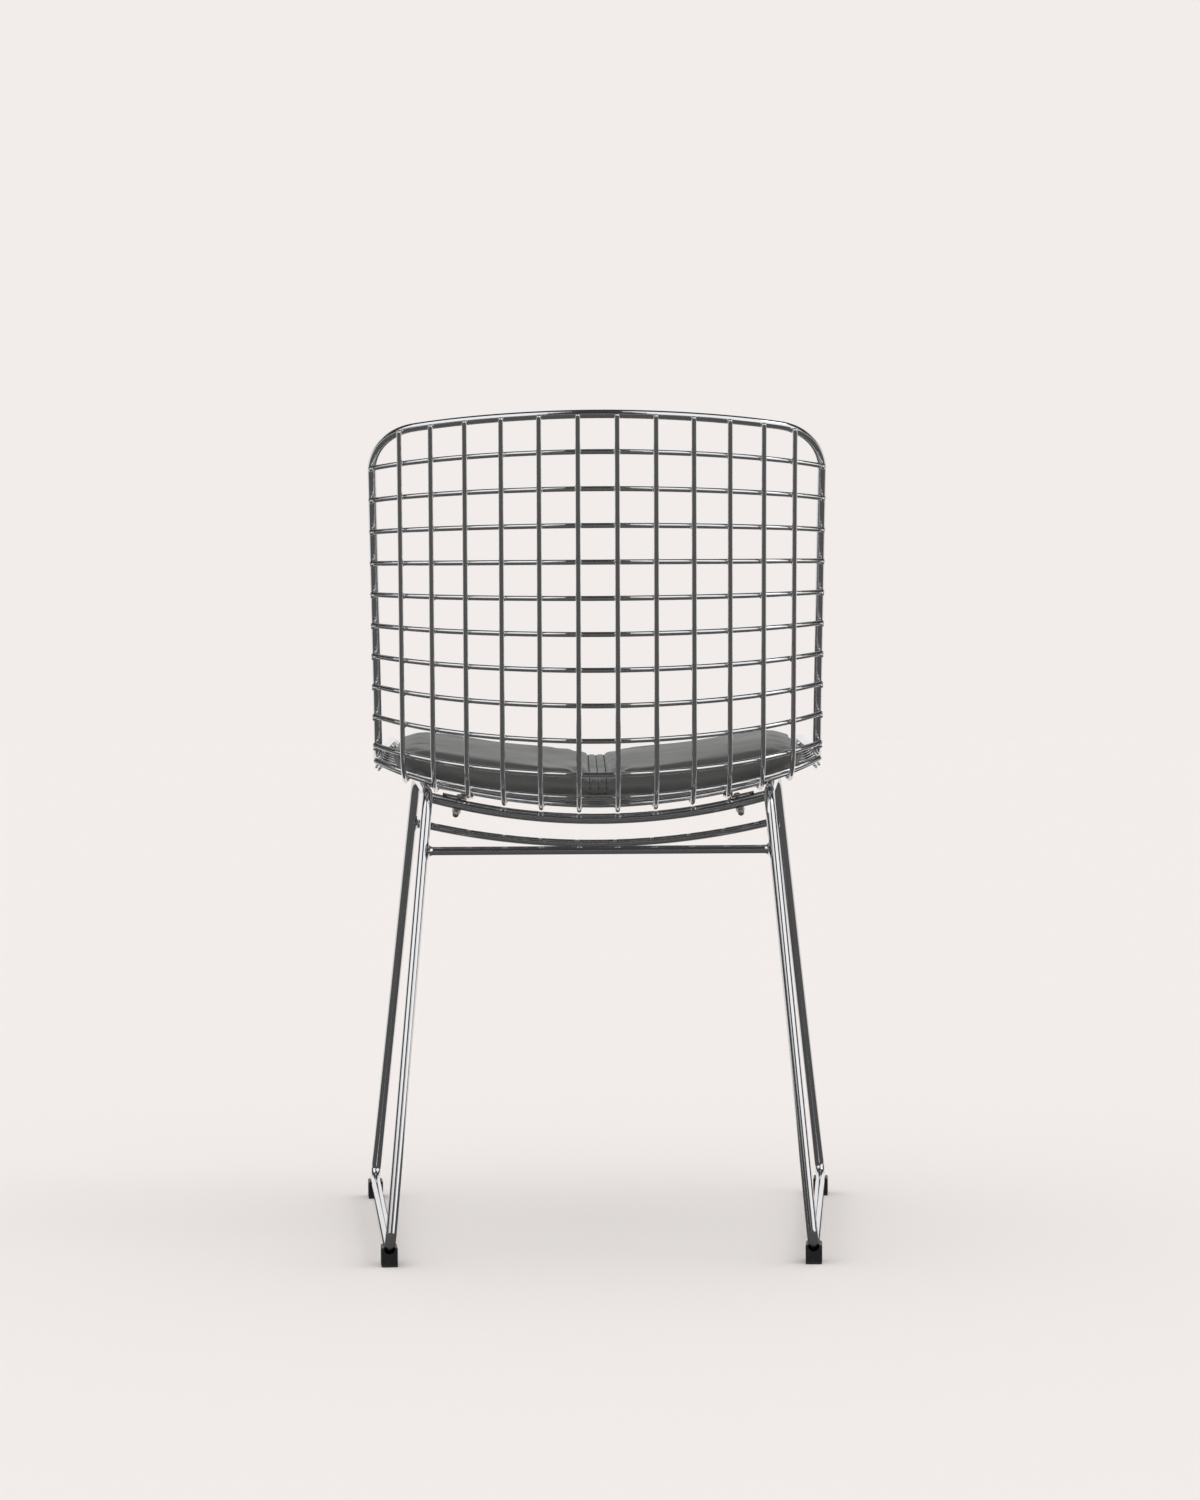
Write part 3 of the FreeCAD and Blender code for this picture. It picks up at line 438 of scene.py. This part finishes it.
def refined(piece, levels):
    """Divides the piece's faces smoothly and applies it."""
    finer = piece.modifiers.new("finer", "SUBSURF")
    finer.levels = levels
    finer.render_levels = levels
    bake(piece)


def refine_band(piece, reach):
    """Splits the faces near the middle line in four each way, so that they can hold the seams."""
    work = bmesh.new()
    work.from_mesh(piece.data)
    near = [edge for edge in work.edges if all(abs(end.co.x) < reach * MM for end in edge.verts)]
    bmesh.ops.subdivide_edges(work, edges=near, cuts=3, use_grid_fill=True)
    work.to_mesh(piece.data)
    work.free()


rings, sides = 44, 220
shrink = 1.6
form = pad_points(rings, sides, shrink).reshape(-1, 3)
seat_pad = cleaned(mesh_piece("seat_pad_cushion", form, grid_faces(2 * rings - 1, sides)))
padded_form(seat_pad, 7.0, 5.0)
refined(seat_pad, 1)
refine_band(seat_pad, 14.0)


def press_seams(cushion):
    """Presses three narrow grooves into the band, along the surface's own directions inwards, where
    it faces up or back. The underside keeps to the mesh."""
    points = vertex_array(cushion)
    facing = np.zeros(points.size, np.float32)
    cushion.data.vertex_normals.foreach_get("vector", facing)
    facing = facing.reshape(-1, 3).astype(float)
    beside = np.exp(-((np.abs(points[:, 0]) - BAND) / 1.3) ** 2) * 1.5
    middle = np.exp(-(points[:, 0] / 1.3) ** 2) * 1.2
    points -= facing * ((beside + middle) * np.clip(facing[:, 2] * 3 + 1.2, 0, 1))[:, None]
    rest = resting_height(points[:, 0], MID_DEPTH - points[:, 1], PAD_LIFT)
    points[:, 2] = np.maximum(points[:, 2], rest)
    set_vertices(cushion, points)
    cushion.data.polygons.foreach_set("use_smooth", np.full(len(cushion.data.polygons), True))


press_seams(seat_pad)


def band_thread(cushion):
    """Stitches along the band's three seams and across its ends: short rounded rods that follow
    the cushion's surface, found by casting straight down on it and, on its rear roll, forwards."""
    work = bmesh.new()
    work.from_mesh(cushion.data)
    surface = BVHTree.FromBMesh(work)
    work.free()
    starts, directions = [], []

    def sew(first, second, way):
        """Adds one stitch between the points that two rays along way hit."""
        hits = [surface.ray_cast(Vector(np.array(origin) * MM), Vector(way))[0]
                for origin in (first, second)]
        if None not in hits:
            pair = np.array(hits) / MM
            starts.append(pair.mean(axis=0))
            directions.append(unit(pair[1] - pair[0]))

    down, forwards = (0, 0, -1), (0, -1, 0)
    above = 800.0
    rear = MID_DEPTH - PAD_REAR
    behind = rear + 200
    front = MID_DEPTH - PAD_FRONT
    low = resting_height(np.array([0.0]), np.array([PAD_REAR + 4.0]), PAD_LIFT)[0]
    for x in (-BAND, 0.0, BAND):
        for y in np.arange(front + 4, rear - 9, STITCH_STEP):
            sew((x, y - STITCH_HALF, above), (x, y + STITCH_HALF, above), down)
        for z in np.arange(low + 7, low + 24, STITCH_STEP):
            sew((x, behind, z - STITCH_HALF), (x, behind, z + STITCH_HALF), forwards)
    for x in np.arange(-BAND + 2, BAND, 4.0):
        left, right = x - STITCH_HALF, x + STITCH_HALF
        sew((left, behind, low + 6), (right, behind, low + 6), forwards)
        sew((left, front + 12, above), (right, front + 12, above), down)
    centres = np.array(starts)
    ways = np.array(directions)
    sideways = unit(np.cross(ways, np.array([[0.0, 0.0, 1.0]])))
    axes = np.stack([sideways, np.cross(ways, sideways), ways], 1)
    radii = np.tile([[0.6, 0.5, 1.6]], (len(centres), 1))
    return beads("pad_stitches", centres, axes, radii, rings=6, sides=8)


stitches = band_thread(seat_pad)


# Materials. A Mix node's colour sockets share their names, so they are given by number.

MIX_FIRST, MIX_SECOND, MIX_RESULT = 6, 7, 2


def linear(code):
    """Linear red, green, blue and alpha from an sRGB hex value."""
    parts = [((code >> shift) & 255) / 255 for shift in (16, 8, 0)]
    bent = [part / 12.92 if part <= 0.04045 else ((part + 0.055) / 1.055) ** 2.4 for part in parts]
    return bent + [1.0]


def add_node(tree, kind, settings=None, inputs=None):
    """Adds a node, sets its properties and its inputs' values, and links inputs that are sockets."""
    node = tree.nodes.new(kind)
    for name, value in (settings or {}).items():
        setattr(node, name, value)
    for name, value in (inputs or {}).items():
        if isinstance(value, bpy.types.NodeSocket):
            tree.links.new(value, node.inputs[name])
        else:
            node.inputs[name].default_value = value
    return node


def new_material(name):
    """An empty material, its node tree and its surface output."""
    material = bpy.data.materials.new(name)
    material.use_nodes = True
    material.node_tree.nodes.clear()
    output = add_node(material.node_tree, "ShaderNodeOutputMaterial")
    return material, material.node_tree, output


def chrome_plate():
    """Bright chrome over nickel on drawn steel wire. The plate mirrors the studio, with a faint
    haze that varies over a few centimetres where hands and packing rubbed it."""
    material, tree, output = new_material("bright_chrome_plate")
    place = add_node(tree, "ShaderNodeTexCoord").outputs["Object"]
    haze = add_node(tree, "ShaderNodeTexNoise", None, {
        "Vector": place, "Scale": 38.0, "Detail": 3.0})
    rough = add_node(tree, "ShaderNodeMapRange", None, {
        "Value": haze.outputs["Fac"], "From Min": 0.3, "From Max": 0.7,
        "To Min": 0.04, "To Max": 0.10})
    ripple = add_node(tree, "ShaderNodeTexNoise", None, {
        "Vector": place, "Scale": 160.0, "Detail": 2.0})
    bump = add_node(tree, "ShaderNodeBump", None, {
        "Height": ripple.outputs["Fac"], "Strength": 0.05, "Distance": 0.0003})
    shader = add_node(tree, "ShaderNodeBsdfPrincipled", None, {
        "Base Color": linear(0xDCDDDF), "Metallic": 1.0, "Roughness": rough.outputs["Result"],
        "Normal": bump.outputs["Normal"]})
    tree.links.new(shader.outputs["BSDF"], output.inputs["Surface"])
    return material


def plated_sheet(name, colour, roughness):
    """Zinc plated steel, pressed or turned: duller than chrome, with fine scratches about
    0.3 mm apart."""
    material, tree, output = new_material(name)
    place = add_node(tree, "ShaderNodeTexCoord").outputs["Object"]
    stretch = add_node(tree, "ShaderNodeMapping", None, {
        "Vector": place, "Scale": (400.0, 3000.0, 400.0)})
    scratch = add_node(tree, "ShaderNodeTexNoise", None, {
        "Vector": stretch.outputs["Vector"], "Scale": 1.0, "Detail": 2.0})
    rough = add_node(tree, "ShaderNodeMapRange", None, {
        "Value": scratch.outputs["Fac"], "To Min": roughness - 0.06, "To Max": roughness + 0.08})
    bump = add_node(tree, "ShaderNodeBump", None, {
        "Height": scratch.outputs["Fac"], "Strength": 0.15, "Distance": 0.0001})
    shader = add_node(tree, "ShaderNodeBsdfPrincipled", None, {
        "Base Color": linear(colour), "Metallic": 1.0, "Roughness": rough.outputs["Result"],
        "Normal": bump.outputs["Normal"]})
    tree.links.new(shader.outputs["BSDF"], output.inputs["Surface"])
    return material


def moulded_black():
    """Moulded black polypropylene with a fine spark-eroded grain of about half a millimetre, and
    grey scuffs in patches over the block."""
    material, tree, output = new_material("moulded_black_polypropylene")
    place = add_node(tree, "ShaderNodeTexCoord").outputs["Object"]
    grain = add_node(tree, "ShaderNodeTexNoise", None, {
        "Vector": place, "Scale": 2000.0, "Detail": 2.0})
    scuff = add_node(tree, "ShaderNodeTexNoise", None, {
        "Vector": place, "Scale": 260.0, "Detail": 5.0})
    mask = add_node(tree, "ShaderNodeMapRange", None, {
        "Value": scuff.outputs["Fac"], "From Min": 0.52, "From Max": 0.75,
        "To Min": 0.0, "To Max": 0.5})
    colour = add_node(tree, "ShaderNodeMix", {"data_type": "RGBA"}, {
        "Factor": mask.outputs["Result"],
        MIX_FIRST: linear(0x1B1B1C), MIX_SECOND: linear(0x3A3A3B)})
    bump = add_node(tree, "ShaderNodeBump", None, {
        "Height": grain.outputs["Fac"], "Strength": 0.35, "Distance": 0.0002})
    shader = add_node(tree, "ShaderNodeBsdfPrincipled", None, {
        "Base Color": colour.outputs[MIX_RESULT], "Roughness": 0.42,
        "Normal": bump.outputs["Normal"]})
    tree.links.new(shader.outputs["BSDF"], output.inputs["Surface"])
    return material


def leatherette():
    """Black vinyl coated cloth, embossed with a leather grain. Its two tones, mixed at random, are
    the black vinyl's own colour lifted to a charcoal grey by painted sheen. The grain's cells are
    about 1.2 mm wide, with finer creases in them; the coating's shine is soft and slightly uneven."""
    material, tree, output = new_material("black_vinyl_leatherette")
    place = add_node(tree, "ShaderNodeTexCoord").outputs["Object"]
    bend = add_node(tree, "ShaderNodeTexNoise", None, {
        "Vector": place, "Scale": 420.0, "Detail": 2.0})
    warped = add_node(tree, "ShaderNodeVectorMath", {"operation": "MULTIPLY_ADD"}, {
        0: bend.outputs["Color"], 1: (0.0007, 0.0007, 0.0007), 2: place})
    cells = add_node(tree, "ShaderNodeTexVoronoi", {"feature": "DISTANCE_TO_EDGE"}, {
        "Vector": warped.outputs["Vector"], "Scale": 820.0})
    pebble = add_node(tree, "ShaderNodeMapRange", {"interpolation_type": "SMOOTHSTEP"}, {
        "Value": cells.outputs["Distance"], "From Min": 0.0, "From Max": 0.22})
    soft = add_node(tree, "ShaderNodeTexNoise", None, {
        "Vector": place, "Scale": 14.0, "Detail": 3.0})
    rough = add_node(tree, "ShaderNodeMapRange", None, {
        "Value": soft.outputs["Fac"], "From Min": 0.3, "From Max": 0.7,
        "To Min": 0.34, "To Max": 0.46})
    # Painted sheen: both charcoal greys are lighter than the black vinyl's own colour and stand in
    # for the coating's grey shine; the mix between them is random tone.
    tone_with_painted_sheen = add_node(tree, "ShaderNodeMix", {"data_type": "RGBA"}, {
        "Factor": soft.outputs["Fac"], MIX_FIRST: linear(0x4D4D4B), MIX_SECOND: linear(0x585856)})
    bump = add_node(tree, "ShaderNodeBump", None, {
        "Height": pebble.outputs["Result"], "Strength": 0.3, "Distance": 0.00015})
    shader = add_node(tree, "ShaderNodeBsdfPrincipled", None, {
        "Base Color": tone_with_painted_sheen.outputs[MIX_RESULT], "Roughness": rough.outputs["Result"],
        "Normal": bump.outputs["Normal"]})
    tree.links.new(shader.outputs["BSDF"], output.inputs["Surface"])
    return material


def bonded_thread():
    """Black bonded polyester thread, slightly shiny."""
    material, tree, output = new_material("bonded_polyester_thread")
    place = add_node(tree, "ShaderNodeTexCoord").outputs["Object"]
    twist = add_node(tree, "ShaderNodeTexNoise", None, {
        "Vector": place, "Scale": 3000.0, "Detail": 1.0})
    bump = add_node(tree, "ShaderNodeBump", None, {
        "Height": twist.outputs["Fac"], "Strength": 0.4, "Distance": 0.0001})
    shader = add_node(tree, "ShaderNodeBsdfPrincipled", None, {
        "Base Color": linear(0x2B2B29), "Roughness": 0.5, "Normal": bump.outputs["Normal"]})
    tree.links.new(shader.outputs["BSDF"], output.inputs["Surface"])
    return material


def dress(piece, material):
    """Gives a piece one material, and its finish slot where it is a new piece."""
    piece.data.materials.clear()
    piece.data.materials.append(material)


chrome = chrome_plate()
clip_finish = plated_sheet("bright_zinc_clip", 0xCBCBC8, 0.22)
nut_finish = plated_sheet("zinc_fastener", 0xA9A7A2, 0.28)
glide_finish = moulded_black()
vinyl = leatherette()

for name, node in nodes.items():
    if name.endswith("_glide"):
        finish = glide_finish
    elif name.endswith("_clip"):
        finish = clip_finish
    elif name in ("clip_bolts", "clip_nuts"):
        finish = nut_finish
    else:
        finish = chrome
    for slot in node.material_slots:
        slot.material = finish

dress(weld_beads, chrome)
dress(wire_ends, chrome)
dress(rim_welds, chrome)
dress(frame_welds, chrome)
dress(seat_pad, vinyl)
dress(stitches, bonded_thread())

for piece in (weld_beads, wire_ends, rim_welds, frame_welds):
    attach(piece, "chair")
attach(seat_pad, "seat_pad")
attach(stitches, "seat_pad")
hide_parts("seat_pad_cover", "seat_pad_foam")


# Studio: an even pale floor and backdrop, a soft key light from the right, and a darker room with
# soft boxes on the camera's side that the chrome mirrors

BACKDROP = 0xF2EDEA
AMBIENT = 0.966
BOX_STRENGTH = 1.25
ROOM_STRENGTH = 0.06
FAR_SHARE = 0.75
MATH = "ShaderNodeMath"
RANGE = "ShaderNodeMapRange"
SMOOTH = {"interpolation_type": "SMOOTHSTEP"}


def studio_floor():
    """A wide level sheet of matt paper."""
    half = 40000.0
    corners = np.array([[-half, -half, 0], [half, -half, 0], [half, half, 0], [-half, half, 0]])
    sheet = mesh_piece("studio_floor", corners, [[0, 1, 2, 3]], smooth=False)
    material, tree, output = new_material("matt_backdrop_paper")
    shader = add_node(tree, "ShaderNodeBsdfDiffuse", None, {"Color": linear(BACKDROP)})
    tree.links.new(shader.outputs["BSDF"], output.inputs["Surface"])
    dress(sheet, material)


def studio_world():
    """The room. Camera rays see the backdrop's colour everywhere. Metal mirrors a backdrop about as
    bright on the far side of the chair, which ends 20 to 38 degrees up, and elsewhere a dark room
    with soft boxes in it: two high ones beside a dark gap, and a tall one to the picture's right
    that stands on the floor. Matt surfaces are lit evenly from all round. A span is 1 between two
    angles and falls to 0 over a soft edge; a soft box is a span of turn times a span of height.
    Turns are degrees from the camera's side towards the picture's right, away is the turn without
    its side, and heights are degrees over the horizon."""
    world = bpy.data.worlds.new("studio")
    bpy.context.scene.world = world
    world.use_nodes = True
    tree = world.node_tree
    tree.nodes.clear()
    output = add_node(tree, "ShaderNodeOutputWorld")
    direction = add_node(tree, "ShaderNodeTexCoord").outputs["Generated"]
    parts = add_node(tree, "ShaderNodeSeparateXYZ", None, {"Vector": direction})

    leftward = add_node(tree, MATH, {"operation": "MULTIPLY"}, {0: parts.outputs["X"], 1: -1.0})
    bearing = add_node(tree, MATH, {"operation": "ARCTAN2"}, {
        0: leftward.outputs[0], 1: parts.outputs["Y"]})
    turn = add_node(tree, MATH, {"operation": "DEGREES"}, {0: bearing.outputs[0]}).outputs[0]
    away = add_node(tree, MATH, {"operation": "ABSOLUTE"}, {0: turn}).outputs[0]
    rise = add_node(tree, MATH, {"operation": "ARCSINE"}, {0: parts.outputs["Z"]})
    height = add_node(tree, MATH, {"operation": "DEGREES"}, {0: rise.outputs[0]}).outputs[0]

    spans = []
    for angle, low, high, soft in ((away, 17.0, 72.0, 6.0), (height, 14.0, 62.0, 8.0),
                                   (turn, 36.0, 74.0, 8.0), (height, -52.0, 40.0, 10.0)):
        rising = add_node(tree, RANGE, SMOOTH, {
            "Value": angle, "From Min": low - soft, "From Max": low})
        falling = add_node(tree, RANGE, SMOOTH, {
            "Value": angle, "From Min": high, "From Max": high + soft})
        span = add_node(tree, MATH, {"operation": "SUBTRACT"}, {
            0: rising.outputs["Result"], 1: falling.outputs["Result"]})
        spans.append(span.outputs[0])
    far_side = add_node(tree, RANGE, SMOOTH, {"Value": away, "From Min": 112.0, "From Max": 124.0})
    low_down = add_node(tree, RANGE, SMOOTH, {
        "Value": height, "From Min": 20.0, "From Max": 38.0, "To Min": FAR_SHARE, "To Max": 0.0})
    areas = []
    for first, second in ((spans[0], spans[1]), (spans[2], spans[3]),
                          (far_side.outputs["Result"], low_down.outputs["Result"])):
        area = add_node(tree, MATH, {"operation": "MULTIPLY"}, {0: first, 1: second})
        areas.append(area.outputs[0])
    boxes = add_node(tree, MATH, {"operation": "MAXIMUM"}, {0: areas[0], 1: areas[1]})
    lit = add_node(tree, MATH, {"operation": "MAXIMUM"}, {0: boxes.outputs[0], 1: areas[2]})
    mirrored = add_node(tree, MATH, {"operation": "MULTIPLY_ADD"}, {
        0: lit.outputs[0], 1: BOX_STRENGTH, 2: ROOM_STRENGTH})

    path = add_node(tree, "ShaderNodeLightPath")
    room = add_node(tree, "ShaderNodeBackground", None, {
        "Color": linear(0xF4F3F3), "Strength": mirrored.outputs[0]})
    even = add_node(tree, "ShaderNodeBackground", None, {
        "Color": linear(0xFFFFFF), "Strength": AMBIENT})
    seen = add_node(tree, "ShaderNodeBackground", None, {
        "Color": linear(BACKDROP), "Strength": 1.0})
    matt = add_node(tree, "ShaderNodeMixShader", None, {
        0: path.outputs["Is Diffuse Ray"], 1: room.outputs["Background"],
        2: even.outputs["Background"]})
    mix = add_node(tree, "ShaderNodeMixShader", None, {
        0: path.outputs["Is Camera Ray"], 1: matt.outputs["Shader"],
        2: seen.outputs["Background"]})
    tree.links.new(mix.outputs["Shader"], output.inputs["Surface"])


def room_floor():
    """The room's own dark floor, 2 mm over the paper from the chair's front to 12 m behind it. Only
    metal sees it: it is hidden from the camera and from matt surfaces, and casts no shadow."""
    half, near, far, height = 6000, -380, 12000, 2
    corners = np.array([[-half, near, height], [half, near, height],
                        [half, far, height], [-half, far, height]])
    sheet = mesh_piece("room_floor", corners, [[0, 1, 2, 3]], smooth=False)
    material, tree, output = new_material("dark_room_floor")
    shader = add_node(tree, "ShaderNodeBsdfDiffuse", None, {"Color": linear(0x5C5B5A)})
    tree.links.new(shader.outputs["BSDF"], output.inputs["Surface"])
    dress(sheet, material)
    sheet.visible_camera = False
    sheet.visible_diffuse = False
    sheet.visible_shadow = False


def key_light():
    """A wide soft light from the upper right of the picture."""
    light = bpy.data.lights.new("key", "SUN")
    light.energy = 0.14
    light.angle = math.radians(16)
    lamp = bpy.data.objects.new("key", light)
    bpy.context.scene.collection.objects.link(lamp)
    lamp.rotation_euler = Vector((0.75, -0.25, -0.8)).to_track_quat("-Z", "Y").to_euler()


def camera():
    """The photograph's viewpoint: behind the chair, a little to the left, at 522 mm, looking
    slightly down and to the right."""
    lens = bpy.data.cameras.new("camera")
    lens.lens = 81.8
    lens.sensor_width = 36.0
    lens.clip_end = 200.0
    view = bpy.data.objects.new("camera", lens)
    bpy.context.scene.collection.objects.link(view)
    view.location = Vector((23.85, MID_DEPTH + 3127.0, 521.6)) * MM
    view.rotation_euler = (math.radians(90 - 0.84), math.radians(0.35), math.radians(180 - 0.462))
    bpy.context.scene.camera = view


studio_floor()
room_floor()
studio_world()
key_light()
camera()
bpy.context.scene.view_settings.view_transform = "Standard"
